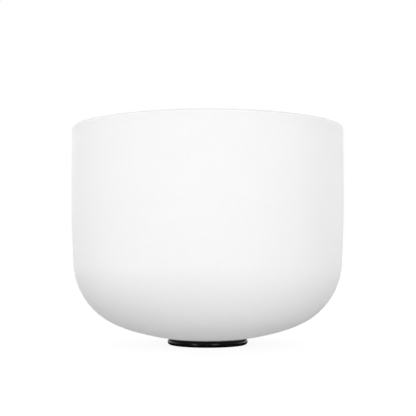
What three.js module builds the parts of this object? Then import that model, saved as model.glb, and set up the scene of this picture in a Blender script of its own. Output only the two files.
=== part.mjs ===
// Singing bowl: a frosted fused-quartz bowl that stands on one rubber O-ring.
// Millimetres, +Z up. The origin is on the axis, on the surface that the ring stands on.
import * as THREE from "three";

// Outside of the bowl, as a chain of tangent arcs from the pole of the underside up to the rim.
const BOWL_DIAMETER = 304.8; // a 12 inch bowl
const DOME_RADIUS = 300; // the nearly flat underside
const HAUNCH_RADIUS = 130; // from the underside into the round
const SHOULDER_RADIUS = 78; // the tight round at the foot of the wall
const BELLY_RADIUS = 1150; // the slight swell that runs out into the straight wall
const HAUNCH_END = THREE.MathUtils.degToRad(63); // how far below level the surface faces there
const SHOULDER_END = THREE.MathUtils.degToRad(4);
const RIM_HEIGHT = 241.3; // above the surface that the ring stands on

// Wall and rim. The wall is equally thick all over, so the inside follows the outside.
const WALL = 5.5;
const OUTER_LIP_RADIUS = 1.8;
const INNER_LIP_RADIUS = 1.2;

// O-ring: its round cord is pressed to an oval, flat below on the table and above under the bowl.
const RING_CENTRELINE_RADIUS = 40.4;
const RING_HEIGHT = 6.3; // at the centreline
const RING_FLAT = 2.5; // width of each pressed band
const SEAT_GAP = 0.3; // clearance that keeps the two solids apart

// Facets. Both pieces have as many round the axis, so that they lie parallel at the seat.
const TURN_STEPS = 80;
const LIP_STEPS = 3;
const RING_SIDE_STEPS = 6;

const bowlRadius = BOWL_DIAMETER / 2;

// The bowl's sphere-like underside meets the ring at this slope, and that sets how high the dome sits.
const seatRadius = DOME_RADIUS + SEAT_GAP;
const seatSlope = Math.asin(RING_CENTRELINE_RADIUS / seatRadius);
const domeCentreHeight = RING_HEIGHT + seatRadius * Math.cos(seatSlope);

// A point at an angle on a circle, in the half plane (radius, height). Angles start at level, outwards.
function onCircle(centre, radius, angle) {
  const x = centre.x + radius * Math.cos(angle);
  const y = centre.y + radius * Math.sin(angle);
  return new THREE.Vector2(x, y);
}

// The points of an arc, both ends included.
function arc(centre, radius, from, to, steps) {
  const points = [];
  for (let i = 0; i <= steps; i++) {
    points.push(onCircle(centre, radius, from + ((to - from) * i) / steps));
  }
  return points;
}

// The centre of the next arc of a tangent chain, where the surface faces `below` under level.
function nextCentre(centre, radius, nextRadius, below) {
  return onCircle(centre, radius - nextRadius, -below);
}

// Arc centres of the outside, from the dome up. The dome's end angle is the one that brings the
// chain out to the bowl's full radius.
function outsideArcs() {
  const shoulderReach = (HAUNCH_RADIUS - SHOULDER_RADIUS) * Math.cos(HAUNCH_END);
  const bellyReach = (BELLY_RADIUS - SHOULDER_RADIUS) * Math.cos(SHOULDER_END);
  const haunchCentreRadius = bowlRadius - BELLY_RADIUS + bellyReach - shoulderReach;
  const domeEnd = Math.acos(haunchCentreRadius / (DOME_RADIUS - HAUNCH_RADIUS));

  const dome = new THREE.Vector2(0, domeCentreHeight);
  const haunch = nextCentre(dome, DOME_RADIUS, HAUNCH_RADIUS, domeEnd);
  const shoulder = nextCentre(haunch, HAUNCH_RADIUS, SHOULDER_RADIUS, HAUNCH_END);
  const belly = nextCentre(shoulder, SHOULDER_RADIUS, BELLY_RADIUS, SHOULDER_END);
  return [
    { centre: dome, radius: DOME_RADIUS, from: -Math.PI / 2, to: -domeEnd, steps: 5 },
    { centre: haunch, radius: HAUNCH_RADIUS, from: -domeEnd, to: -HAUNCH_END, steps: 3 },
    { centre: shoulder, radius: SHOULDER_RADIUS, from: -HAUNCH_END, to: -SHOULDER_END, steps: 10 },
    { centre: belly, radius: BELLY_RADIUS, from: -SHOULDER_END, to: 0, steps: 2 },
  ];
}

// The skin at a depth under the outside, from the axis to the top of the belly.
function skin(depth) {
  const points = [];
  outsideArcs().forEach(({ centre, radius, from, to, steps }, index) => {
    const stretch = arc(centre, radius - depth, from, to, steps);
    points.push(...(index === 0 ? stretch : stretch.slice(1)));
  });
  points[0].x = 0;
  return points;
}

// The rounded edges and the ground land between them, from outside to inside.
function rim() {
  const outerCentre = new THREE.Vector2(bowlRadius - OUTER_LIP_RADIUS, RIM_HEIGHT - OUTER_LIP_RADIUS);
  const innerCentre = new THREE.Vector2(
    bowlRadius - WALL + INNER_LIP_RADIUS,
    RIM_HEIGHT - INNER_LIP_RADIUS,
  );
  return [
    ...arc(outerCentre, OUTER_LIP_RADIUS, 0, Math.PI / 2, LIP_STEPS),
    ...arc(innerCentre, INNER_LIP_RADIUS, Math.PI / 2, Math.PI, LIP_STEPS),
  ];
}

// Turns a profile about the upright axis. LatheGeometry turns about Y, so the mesh is tipped up.
function turned(name, profile, material) {
  const mesh = new THREE.Mesh(new THREE.LatheGeometry(profile, TURN_STEPS), material);
  mesh.name = name;
  mesh.rotation.x = Math.PI / 2;
  return mesh;
}

function makeBowl() {
  const quartz = new THREE.MeshStandardMaterial({ color: 0xf3f3f1, roughness: 0.6, metalness: 0 });
  const profile = [...skin(0), ...rim(), ...skin(WALL).reverse()];
  return turned("quartz_bowl", profile, quartz);
}

function makeRing() {
  const rubber = new THREE.MeshStandardMaterial({ color: 0x0c0c0d, roughness: 0.5, metalness: 0 });
  // Each side is an arc that touches both the table and the sloping band under the bowl.
  const side = (offset) => {
    const bandHeight = RING_HEIGHT + offset * Math.tan(seatSlope);
    const round = (bandHeight * Math.cos(seatSlope)) / (1 + Math.cos(seatSlope));
    return { centre: new THREE.Vector2(RING_CENTRELINE_RADIUS + offset, round), round };
  };
  const outer = side(RING_FLAT / 2);
  const inner = side(-RING_FLAT / 2);
  const bandAngle = Math.PI / 2 + seatSlope;
  const profile = [
    ...arc(outer.centre, outer.round, -Math.PI / 2, bandAngle, RING_SIDE_STEPS),
    ...arc(inner.centre, inner.round, bandAngle, (3 * Math.PI) / 2, RING_SIDE_STEPS),
  ];
  profile.push(profile[0].clone());
  return turned("o_ring", profile, rubber);
}

const singingBowl = new THREE.Group();
singingBowl.add(makeRing(), makeBowl());

export default singingBowl;
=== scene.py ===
"""Looks of a frosted quartz singing bowl on its rubber O-ring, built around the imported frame.

Metres, +Z up, the CAD frame: the origin is on the axis, on the plane that the O-ring stands on.
"""

import math

import bpy
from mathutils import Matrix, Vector, noise


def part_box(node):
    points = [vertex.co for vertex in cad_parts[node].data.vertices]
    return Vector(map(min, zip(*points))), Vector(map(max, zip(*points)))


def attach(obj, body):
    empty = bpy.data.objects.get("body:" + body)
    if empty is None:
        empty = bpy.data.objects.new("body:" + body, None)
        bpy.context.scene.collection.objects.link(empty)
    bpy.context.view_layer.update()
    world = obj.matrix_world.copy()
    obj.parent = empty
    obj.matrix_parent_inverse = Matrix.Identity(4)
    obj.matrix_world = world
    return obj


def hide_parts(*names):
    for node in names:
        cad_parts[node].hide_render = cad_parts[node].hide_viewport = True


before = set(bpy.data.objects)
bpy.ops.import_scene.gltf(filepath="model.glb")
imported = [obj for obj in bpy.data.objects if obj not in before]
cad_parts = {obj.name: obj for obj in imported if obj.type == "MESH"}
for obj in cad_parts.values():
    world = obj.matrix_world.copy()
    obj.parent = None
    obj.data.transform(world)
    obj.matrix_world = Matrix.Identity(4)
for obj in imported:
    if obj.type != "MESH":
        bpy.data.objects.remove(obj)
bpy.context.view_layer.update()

MM = 0.001

# Outside of the bowl: a chain of tangent arcs, as in the CAD. Angles are how far below level it faces.
DOME_RADIUS = 300 * MM
HAUNCH_RADIUS = 130 * MM
SHOULDER_RADIUS = 78 * MM
BELLY_RADIUS = 1150 * MM
HAUNCH_END = math.radians(63)
SHOULDER_END = math.radians(4)
WALL = 5.5 * MM
OUTER_LIP_RADIUS = 1.8 * MM
INNER_LIP_RADIUS = 1.2 * MM

# Fineness of the bowl's mesh, and how far its skins wander inwards, as those of fused quartz do.
BOWL_AROUND = 320
OUTSIDE_SPACING = 2.2 * MM
INSIDE_SPACING = 2.4 * MM
WALL_ROWS = 30
LAND_ROWS = 4
OUTER_LIP_STEPS = 8
INNER_LIP_STEPS = 6
WAVE_SIZE, WAVE_DEPTH, WAVE_SHIFT = 23 * MM, 0.10 * MM, Vector((1.0, 0.7, 0.3))
RIPPLE_SIZE, RIPPLE_DEPTH, RIPPLE_SHIFT = 7 * MM, 0.04 * MM, Vector((6.0, 4.2, 1.8))
NOISE_GAIN = 1.4  # brings the noise of mathutils up to about -1 to 1

# O-ring: an oval section, flat where it stands and where the bowl presses on it.
RING_FLAT = 2.5 * MM  # width of each pressed band
RING_GAP = 0.02 * MM  # what is left between the ring and the bowl
FLASH_HEIGHT = 0.09 * MM  # the moulding line round the outside and the inside of the ring
FLASH_WIDTH = 0.36 * MM
RING_AROUND = 256
RING_SIDE_STEPS = 60

# Materials: where they change near the rim, measured down from the top and in from the outside.
LESS_WHITE_FROM, LESS_WHITE_UP_TO = 15 * MM, 3 * MM
MILKY_FROM, MILKY_UP_TO = 2.8 * MM, 1.3 * MM
GRINDING_STRETCH = 25  # how much longer than wide the grinding marks are
NOISE_LOW, NOISE_HIGH = 0.3, 0.7  # the usual range of a shader's noise

# Camera, level with the lower half of the bowl and tipped up a little.
CAMERA_DISTANCE = 1006.8 * MM
CAMERA_HEIGHT = 95.6 * MM
CAMERA_SIDE = 0.4 * MM
CAMERA_PITCH = math.radians(3.26)
LENS_MM = 77.15
SENSOR_MM = 36.0
CLIP_START = 50 * MM

# Sky: its brightness behind the bowl, in front of it and under it, and between which heights (the Z of
# a direction) each part fades in or out; the front turns into the back between two depths (its Y).
SKY_BACK, SKY_BACK_FADE = 1.48, (-0.1, 0.1)
SKY_FRONT, SKY_FRONT_FADE = 0.78, (0.2, 0.45)
SKY_DOWN, SKY_DOWN_FADE = 0.56, (-0.95, -0.5)
SKY_TURN = (-0.5, 0.5)

# Softboxes: azimuth (0 on the camera's side, more to the right) and elevation in degrees, width, height
# and watts. They aim at a point on the axis.
SOFTBOXES = {
    "key": (-37, -4, 0.37, 1.6, 11.7),
    "fill": (22, 8, 0.55, 1.6, 17.6),
    "overhead": (180, 72, 0.32, 0.24, 1.8),
    "side_left": (-95, 30, 1.2, 1.1, 4.8),
    "side_right": (95, 30, 1.2, 1.1, 1.0),
    "low_left": (-95, -42, 1.2, 0.7, 5.0),
    "low_right": (95, -42, 1.2, 0.7, 6.9),
}
SOFTBOX_DISTANCE = 1.8
SOFTBOX_AIM_HEIGHT = 0.1

# Stage: a floor and a dome round it, and a small card that stands for the shade under the bowl.
STAGE_RADIUS = 6.0
STAGE_AROUND = 96
STAGE_DOME_STEPS = 24
FLOOR_GREY, FLOOR_GLOW = 0.1, 0.91
BACKDROP_GLOW = 1.0
CARD_RADIUS = 52 * MM
CARD_DROP = 0.5 * MM
CARD_GREY = 0.01


# ---------------------------------------------------------------- outlines


def on_circle(centre, radius, angle):
    """A point (radius, height) at an angle on a circle; the angle starts level, facing outwards."""
    return (centre[0] + radius * math.cos(angle), centre[1] + radius * math.sin(angle))


def arc(centre, radius, start, end, steps):
    """Points along an arc, both ends included."""
    return [on_circle(centre, radius, start + (end - start) * i / steps) for i in range(steps + 1)]


def line(start, end, steps):
    """Points along a straight stretch, without its first point."""
    return [
        tuple(a + (b - a) * i / steps for a, b in zip(start, end))
        for i in range(1, steps + 1)
    ]


def bowl_arcs(radius, pole_height):
    """The outside's arcs from the pole to the top of the belly, as (centre, radius, start, end)."""
    shoulder_reach = (HAUNCH_RADIUS - SHOULDER_RADIUS) * math.cos(HAUNCH_END)
    belly_reach = (BELLY_RADIUS - SHOULDER_RADIUS) * math.cos(SHOULDER_END)
    haunch_centre = radius - BELLY_RADIUS + belly_reach - shoulder_reach
    dome_end = math.acos(haunch_centre / (DOME_RADIUS - HAUNCH_RADIUS))
    dome = (0.0, pole_height + DOME_RADIUS)
    haunch = on_circle(dome, DOME_RADIUS - HAUNCH_RADIUS, -dome_end)
    shoulder = on_circle(haunch, HAUNCH_RADIUS - SHOULDER_RADIUS, -HAUNCH_END)
    belly = on_circle(shoulder, SHOULDER_RADIUS - BELLY_RADIUS, -SHOULDER_END)
    return [
        (dome, DOME_RADIUS, -math.pi / 2, -dome_end),
        (haunch, HAUNCH_RADIUS, -dome_end, -HAUNCH_END),
        (shoulder, SHOULDER_RADIUS, -HAUNCH_END, -SHOULDER_END),
        (belly, BELLY_RADIUS, -SHOULDER_END, 0.0),
    ]


def skin(arcs, depth, spacing):
    """Points of the skin at a depth under the outside, about spacing apart, from the axis upwards."""
    points = []
    for centre, radius, start, end in arcs:
        steps = round((end - start) * (radius - depth) / spacing)
        stretch = arc(centre, radius - depth, start, end, steps)
        points += stretch[1:] if points else stretch
    points[0] = (0.0, points[0][1])
    return points


# ---------------------------------------------------------------- meshes


def turned_mesh(name, outline, bands, around, closed=False):
    """A surface turned about Z. outline goes round the material counter-clockwise in (radius, height);
    bands holds one material number per stretch. Points on the axis become single vertices."""
    vertices, rows = [], []
    for radius, height in outline:
        if radius == 0:
            rows.append([len(vertices)] * around)
            vertices.append((0.0, 0.0, height))
            continue
        rows.append(list(range(len(vertices), len(vertices) + around)))
        for k in range(around):
            turn = 2 * math.pi * k / around
            vertices.append((radius * math.cos(turn), radius * math.sin(turn), height))
    pairs = list(zip(rows, rows[1:]))
    if closed:
        pairs.append((rows[-1], rows[0]))
    faces, materials = [], []
    for (low, high), band in zip(pairs, bands):
        for k in range(around):
            n = (k + 1) % around
            corners = [low[k], low[n], high[n], high[k]]
            faces.append(list(dict.fromkeys(corners)))
            materials.append(band)
    mesh = bpy.data.meshes.new(name)
    mesh.from_pydata(vertices, [], faces)
    mesh.polygons.foreach_set("material_index", materials)
    mesh.polygons.foreach_set("use_smooth", [True] * len(faces))
    mesh.update()
    return mesh


def add_piece(name, mesh, body, node, materials):
    """Puts a mesh into the scene as a piece that rides on a body and stands for a CAD node."""
    piece = bpy.data.objects.new(name, mesh)
    bpy.context.scene.collection.objects.link(piece)
    for material in materials:
        mesh.materials.append(material)
    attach(piece, body)
    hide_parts(node)


def unevenness(point, size, depth, shift):
    """Smooth noise between -depth and 0 with waves of about size, the same on every run."""
    value = noise.noise(point / size + shift)
    return depth * (min(1.0, max(-1.0, value * NOISE_GAIN)) - 1) / 2


def roughen(mesh):
    """Lets the skins wander inwards a little."""
    normals = [v.normal.copy() for v in mesh.vertices]
    for vertex, normal in zip(mesh.vertices, normals):
        wave = unevenness(vertex.co, WAVE_SIZE, WAVE_DEPTH, WAVE_SHIFT)
        ripple = unevenness(vertex.co, RIPPLE_SIZE, RIPPLE_DEPTH, RIPPLE_SHIFT)
        vertex.co += normal * (wave + ripple)
    mesh.update()


# ---------------------------------------------------------------- materials


class Nodes:
    """A short way to write a node tree. make gives a node back, cells its outputs, the rest one output."""

    def __init__(self, tree):
        self.tree = tree

    def link(self, socket, value):
        """Sets an input to a number or colour, or links an output to it."""
        if isinstance(value, bpy.types.NodeSocket):
            self.tree.links.new(value, socket)
        else:
            socket.default_value = value

    def make(self, kind, inputs, **settings):
        """Makes a node of a kind with its settings, and fills the inputs named or numbered."""
        node = self.tree.nodes.new(kind)
        for key, value in settings.items():
            setattr(node, key, value)
        for key, value in inputs.items():
            self.link(node.inputs[key], value)
        return node

    def math(self, operation, *values):
        return self.make("ShaderNodeMath", dict(enumerate(values)), operation=operation).outputs[0]

    def times(self, a, b):
        return self.math("MULTIPLY", a, b)

    def noise(self, place, size, detail=2.0, roughness=0.5):
        """Cloudy noise from 0 to 1 with features of about size."""
        inputs = {"Vector": place, "Scale": 1 / size, "Detail": detail, "Roughness": roughness}
        return self.make("ShaderNodeTexNoise", inputs).outputs["Fac"]

    def spread(self, noise, to_low=0.0, to_high=1.0):
        """Noise, most of which is between NOISE_LOW and NOISE_HIGH, spread over a range."""
        return self.ramp(noise, NOISE_LOW, NOISE_HIGH, to_low, to_high)

    def cells(self, place, size):
        """Cells of about size. Its Distance output grows from 0 at each cell's middle, in cell sizes."""
        return self.make("ShaderNodeTexVoronoi", {"Vector": place, "Scale": 1 / size}).outputs

    def dots(self, place, spacing, radius):
        """Soft dots of a radius, about spacing apart: 1 in the middle and 0 outside."""
        return self.ramp(self.cells(place, spacing)["Distance"], 0.0, radius / spacing, 1.0, 0.0)

    def ramp(self, value, low, high, to_low, to_high, kind="LINEAR"):
        """to_low where value is low and to_high where it is high, and between them in between."""
        inputs = {"Value": value, "From Min": low, "From Max": high, "To Min": to_low, "To Max": to_high}
        return self.make("ShaderNodeMapRange", inputs, interpolation_type=kind).outputs[0]

    def step(self, value, low, high, to_low=0.0, to_high=1.0):
        """ramp with soft ends."""
        return self.ramp(value, low, high, to_low, to_high, "SMOOTHSTEP")

    def blend(self, factor, a, b):
        """A colour between two others, each given as a grey level, three numbers or an output."""
        node = self.make("ShaderNodeMix", {"Factor": factor}, data_type="RGBA")
        colour_inputs = [s for s in node.inputs if s.type == "RGBA"]
        for socket, value in zip(colour_inputs, (a, b)):
            self.link(socket, rgba(value))
        return [s for s in node.outputs if s.type == "RGBA"][0]


def rgba(value):
    """A grey level or three numbers as an opaque colour; an output stays as it is."""
    if isinstance(value, bpy.types.NodeSocket):
        return value
    return (*value, 1.0) if isinstance(value, tuple) else (value, value, value, 1.0)


def new_material(name):
    """A material, its Principled shader, a writer for its nodes and its object coordinates."""
    material = bpy.data.materials.new(name)
    material.use_nodes = True
    write = Nodes(material.node_tree)
    shader = material.node_tree.nodes["Principled BSDF"]
    place = write.make("ShaderNodeTexCoord", {}).outputs["Object"]
    return material, shader, write, place


def finish_material(write, shader, colour, roughness, height, depth, strength):
    """Links colour, roughness and relief to the shader."""
    bump = write.make("ShaderNodeBump", {"Strength": strength, "Distance": depth, "Height": height})
    write.link(shader.inputs["Base Color"], colour)
    write.link(shader.inputs["Roughness"], roughness)
    write.link(shader.inputs["Normal"], bump.outputs[0])


def make_quartz(shader):
    """What all quartz surfaces share: fused quartz's index, and light that spreads in a milky wall."""
    shader.inputs["IOR"].default_value = 1.46
    shader.inputs["Subsurface Weight"].default_value = 0.5
    shader.inputs["Subsurface Radius"].default_value = (1.0, 1.0, 1.0)
    shader.inputs["Subsurface Scale"].default_value = 2.5 * MM


def frosted_quartz(top):
    """Outside: sintered sand, matt white, glinting grains, shade painted between them, specks, faint
    clouds.
    The last stretch under the rim is a little less white."""
    material, shader, write, place = new_material("quartz_frosted")
    make_quartz(shader)
    clouds = write.spread(write.noise(place, 36 * MM, 4.0, 0.55))
    lumps = write.noise(place, 1.05 * MM, 3.0, 0.6)
    grains = write.cells(place, 0.43 * MM)
    gaps_and_painted_shade = write.step(grains["Distance"], 0.25, 0.85)
    specks = write.dots(place, 3.0 * MM, 0.42 * MM)
    colour = write.blend(clouds, 0.932, 0.941)
    # Painted shade: darker between the grains, where the relief is also sunk.
    colour = write.blend(write.times(gaps_and_painted_shade, 0.55), colour, 0.82)
    colour = write.blend(write.times(specks, 0.3), colour, 0.74)
    z = write.make("ShaderNodeSeparateXYZ", {"Vector": place}).outputs[2]
    less_white_near_rim = write.step(z, top - LESS_WHITE_FROM, top - LESS_WHITE_UP_TO, 0.0, 0.4)
    colour = write.blend(less_white_near_rim, colour, 0.86)
    chance = write.make("ShaderNodeSeparateColor", {"Color": grains["Color"]}).outputs[0]
    roughness = write.ramp(chance, 0.0, 1.0, 0.4, 0.75)
    height = write.math("SUBTRACT", write.times(lumps, 1.2), gaps_and_painted_shade)
    height = write.math("SUBTRACT", height, write.times(specks, 0.5))
    finish_material(write, shader, colour, roughness, height, 0.12 * MM, 0.8)
    return material


def ground_rim(radius):
    """Rim: cut and ground flat, glassier towards the inside of the wall, with grinding marks round it."""
    material, shader, write, place = new_material("quartz_ground_rim")
    make_quartz(shader)
    x, y = write.make("ShaderNodeSeparateXYZ", {"Vector": place}).outputs[:2]
    flat = write.make("ShaderNodeCombineXYZ", {"X": x, "Y": y}).outputs[0]
    out = write.make("ShaderNodeVectorMath", {0: flat}, operation="LENGTH").outputs["Value"]
    along = write.times(write.math("ARCTAN2", y, x), radius / GRINDING_STRETCH)
    drawn_out = write.make("ShaderNodeCombineXYZ", {"X": along, "Y": out}).outputs[0]
    marks = write.spread(write.noise(drawn_out, 0.24 * MM, 3.0, 0.6))
    grain = write.noise(place, 0.42 * MM)
    bubbles = write.dots(place, 1.1 * MM, 0.24 * MM)
    milky = write.step(out, radius - MILKY_FROM, radius - MILKY_UP_TO)
    colour = write.blend(milky, (0.46, 0.475, 0.48), 0.74)
    colour = write.blend(write.times(marks, 0.18), colour, 0.36)
    colour = write.blend(write.times(bubbles, 0.3), colour, 0.90)
    roughness = write.ramp(marks, 0.0, 1.0, 0.42, 0.62)
    height = write.math("ADD", marks, write.times(grain, 0.8))
    finish_material(write, shader, colour, roughness, height, 0.04 * MM, 0.7)
    return material


def glazed_quartz():
    """Inside: fused smooth by the arc, with a soft gloss, slow ripples and small bubbles under the skin."""
    material, shader, write, place = new_material("quartz_glazed")
    make_quartz(shader)
    clouds = write.spread(write.noise(place, 45 * MM, 3.0))
    ripples = write.noise(place, 4.3 * MM)
    fine = write.noise(place, 0.9 * MM)
    bubbles = write.dots(place, 3.3 * MM, 0.33 * MM)
    colour = write.blend(clouds, (0.832, 0.84, 0.84), (0.862, 0.868, 0.868))
    colour = write.blend(write.times(bubbles, 0.3), colour, 0.93)
    roughness = write.spread(fine, 0.15, 0.24)
    height = write.math("ADD", ripples, write.times(fine, 0.12))
    finish_material(write, shader, colour, roughness, height, 0.2 * MM, 0.7)
    return material


def black_rubber():
    """O-ring: moulded black rubber with a soft sheen, faint flow marks and a little dust."""
    material, shader, write, place = new_material("rubber_black")
    shader.inputs["IOR"].default_value = 1.5
    shader.inputs["Specular IOR Level"].default_value = 0.23
    flow = write.noise(place, 6.2 * MM, 3.0, 0.6)
    fine = write.noise(place, 0.38 * MM)
    dust = write.dots(place, 1.4 * MM, 0.1 * MM)
    colour = write.blend(write.ramp(flow, 0.35, 0.65, 0.0, 1.0), 0.002, 0.0045)
    colour = write.blend(write.times(dust, 0.5), colour, 0.09)
    roughness = write.spread(flow, 0.16, 0.24)
    height = write.math("ADD", write.times(flow, 0.3), write.times(fine, 0.5))
    finish_material(write, shader, colour, roughness, height, 0.03 * MM, 0.4)
    return material


# ---------------------------------------------------------------- pieces


def make_bowl():
    """The bowl as one closed skin: up the outside, over the rim and down the inside."""
    low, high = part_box("quartz_bowl")
    radius, top = high.x, high.z
    arcs = bowl_arcs(radius, low.z)
    outside = skin(arcs, 0.0, OUTSIDE_SPACING)
    inside = skin(arcs, WALL, INSIDE_SPACING)
    outer_centre = (radius - OUTER_LIP_RADIUS, top - OUTER_LIP_RADIUS)
    inner_centre = (radius - WALL + INNER_LIP_RADIUS, top - INNER_LIP_RADIUS)
    outer_lip = arc(outer_centre, OUTER_LIP_RADIUS, 0, math.pi / 2, OUTER_LIP_STEPS)
    inner_lip = arc(inner_centre, INNER_LIP_RADIUS, math.pi / 2, math.pi, INNER_LIP_STEPS)

    outer_wall = outside + line(outside[-1], outer_lip[0], WALL_ROWS)
    rim = outer_lip[1:] + line(outer_lip[-1], inner_lip[0], LAND_ROWS) + inner_lip[1:]
    inner_wall = line(inner_lip[-1], inside[-1], WALL_ROWS) + inside[-2::-1]
    bands = [0] * (len(outer_wall) - 1) + [1] * len(rim) + [2] * len(inner_wall)
    mesh = turned_mesh("bowl", outer_wall + rim + inner_wall, bands, BOWL_AROUND)
    roughen(mesh)
    materials = [frosted_quartz(top), ground_rim(radius), glazed_quartz()]
    add_piece("bowl_shell", mesh, "bowl", "quartz_bowl", materials)


def make_ring():
    """The ring, whose two sides are arcs that stand on the floor and come up to the bowl's underside."""
    ring_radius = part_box("o_ring")[1].x
    dome_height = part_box("quartz_bowl")[0].z + DOME_RADIUS
    reach = DOME_RADIUS + RING_GAP
    # A side of radius r that stands on the floor at foot comes up to the dome, but for RING_GAP, where
    # (dome_height - r)² + foot² = (reach + r)², and outside foot + r is the ring's own radius.
    total = ring_radius + dome_height + reach
    outer = total - math.sqrt(total**2 - dome_height**2 - ring_radius**2 + reach**2)
    outer_foot = ring_radius - outer
    inner_foot = outer_foot - RING_FLAT
    inner = (dome_height**2 + inner_foot**2 - reach**2) / (2 * (dome_height + reach))

    outer_seat = math.pi / 2 + math.asin(outer_foot / (reach + outer))
    inner_seat = math.pi / 2 + math.asin(inner_foot / (reach + inner))
    outline = ring_side(outer_foot, outer, -math.pi / 2, outer_seat, 0.0)
    outline += ring_side(inner_foot, inner, inner_seat, 3 * math.pi / 2, math.pi)
    mesh = turned_mesh("ring", outline, [0] * len(outline), RING_AROUND, closed=True)
    add_piece("rubber_o_ring", mesh, "stand_ring", "o_ring", [black_rubber()])


def ring_side(foot, radius, start, end, middle):
    """One side of the ring's section: an arc with the moulding line at the angle middle."""
    points = []
    for i in range(RING_SIDE_STEPS + 1):
        angle = start + (end - start) * i / RING_SIDE_STEPS
        away = (angle - middle) * radius / (FLASH_WIDTH / 2)
        flash = FLASH_HEIGHT * math.exp(-away * away)
        points.append(on_circle((foot, radius), radius + flash, angle))
    return points


# ---------------------------------------------------------------- studio


def stage_paint(name, grey, glow):
    """A matt grey stage surface that can glow, so that a floor stays pale under soft light."""
    material = bpy.data.materials.new(name)
    material.use_nodes = True
    shader = material.node_tree.nodes["Principled BSDF"]
    shader.inputs["Base Color"].default_value = (grey, grey, grey, 1)
    shader.inputs["Roughness"].default_value = 1.0
    shader.inputs["Specular IOR Level"].default_value = 0.0
    shader.inputs["Emission Color"].default_value = (1, 1, 1, 1)
    shader.inputs["Emission Strength"].default_value = glow
    return material


def stage_object(name, outline, material, seen_by):
    """A turned stage surface that only some kinds of rays meet."""
    mesh = turned_mesh(name, outline, [0] * len(outline), STAGE_AROUND)
    mesh.materials.append(material)
    obj = bpy.data.objects.new(name, mesh)
    bpy.context.scene.collection.objects.link(obj)
    for ray in ("camera", "diffuse", "glossy", "transmission", "volume_scatter", "shadow"):
        setattr(obj, "visible_" + ray, ray in seen_by)


def make_stage():
    """A white floor and backdrop that leave the light as it is, and a dark card of painted shadow under the
    bowl.
    """
    floor = [(0.0, 0.0), (STAGE_RADIUS, 0.0)]
    floor_paint = stage_paint("floor_white", FLOOR_GREY, FLOOR_GLOW)
    stage_object("studio_floor", floor, floor_paint, ("camera",))
    dome = arc((0.0, 0.0), STAGE_RADIUS, 0.0, math.pi / 2, STAGE_DOME_STEPS)
    dome[-1] = (0.0, STAGE_RADIUS)
    backdrop_paint = stage_paint("backdrop_white", 0.0, BACKDROP_GLOW)
    stage_object("studio_backdrop", dome, backdrop_paint, ("camera",))
    # Painted shadow: a near-black card just under the floor, met only by diffuse and glossy rays, where the
    # bowl's shade falls.
    card = [(0.0, -CARD_DROP), (CARD_RADIUS, -CARD_DROP)]
    card_paint = stage_paint("shade_black", CARD_GREY, 0.0)
    stage_object("shade_card", card, card_paint, ("diffuse", "glossy"))


def make_sky():
    """World light: a sky that comes down lower behind than in front, and a glow from below."""
    world = bpy.data.worlds.new("studio")
    bpy.context.scene.world = world
    world.use_nodes = True
    write = Nodes(world.node_tree)
    direction = write.make("ShaderNodeTexCoord", {}).outputs["Generated"]
    y, z = write.make("ShaderNodeSeparateXYZ", {"Vector": direction}).outputs[1:]
    behind = write.step(y, *SKY_TURN)
    ahead = write.math("SUBTRACT", 1.0, behind)
    back = write.times(behind, write.step(z, *SKY_BACK_FADE, 0.0, SKY_BACK))
    front = write.times(ahead, write.step(z, *SKY_FRONT_FADE, 0.0, SKY_FRONT))
    below = write.step(z, *SKY_DOWN_FADE, SKY_DOWN, 0.0)
    total = write.math("ADD", write.math("ADD", back, front), below)
    background = world.node_tree.nodes["Background"]
    background.inputs["Color"].default_value = (1, 1, 1, 1)
    write.link(background.inputs["Strength"], total)


def softbox(name, azimuth, elevation, width, height, watts):
    """An area light that looks at the bowl from a fixed distance, and that the camera doesn't see."""
    light = bpy.data.lights.new(name, "AREA")
    light.shape = "RECTANGLE"
    light.size = width
    light.size_y = height
    light.energy = watts
    lamp = bpy.data.objects.new(name, light)
    bpy.context.scene.collection.objects.link(lamp)
    a, e = math.radians(azimuth), math.radians(elevation)
    outward = Vector((math.sin(a) * math.cos(e), -math.cos(a) * math.cos(e), math.sin(e)))
    lamp.location = Vector((0, 0, SOFTBOX_AIM_HEIGHT)) + outward * SOFTBOX_DISTANCE
    lamp.rotation_euler = outward.to_track_quat("Z", "Y").to_euler()
    lamp.visible_camera = False


def make_lights():
    """The softboxes of the table."""
    for name, settings in SOFTBOXES.items():
        softbox(name, *settings)


def make_camera():
    """The scene's camera, which looks along +Y."""
    data = bpy.data.cameras.new("camera")
    data.lens = LENS_MM
    data.sensor_width = SENSOR_MM
    data.clip_start = CLIP_START
    data.clip_end = 5 * STAGE_RADIUS
    camera = bpy.data.objects.new("camera", data)
    bpy.context.scene.collection.objects.link(camera)
    camera.location = (CAMERA_SIDE, -CAMERA_DISTANCE, CAMERA_HEIGHT)
    camera.rotation_euler = (math.pi / 2 + CAMERA_PITCH, 0, 0)
    bpy.context.scene.camera = camera


make_camera()
make_bowl()
make_ring()
make_stage()
make_sky()
make_lights()
bpy.context.scene.view_settings.view_transform = "Standard"
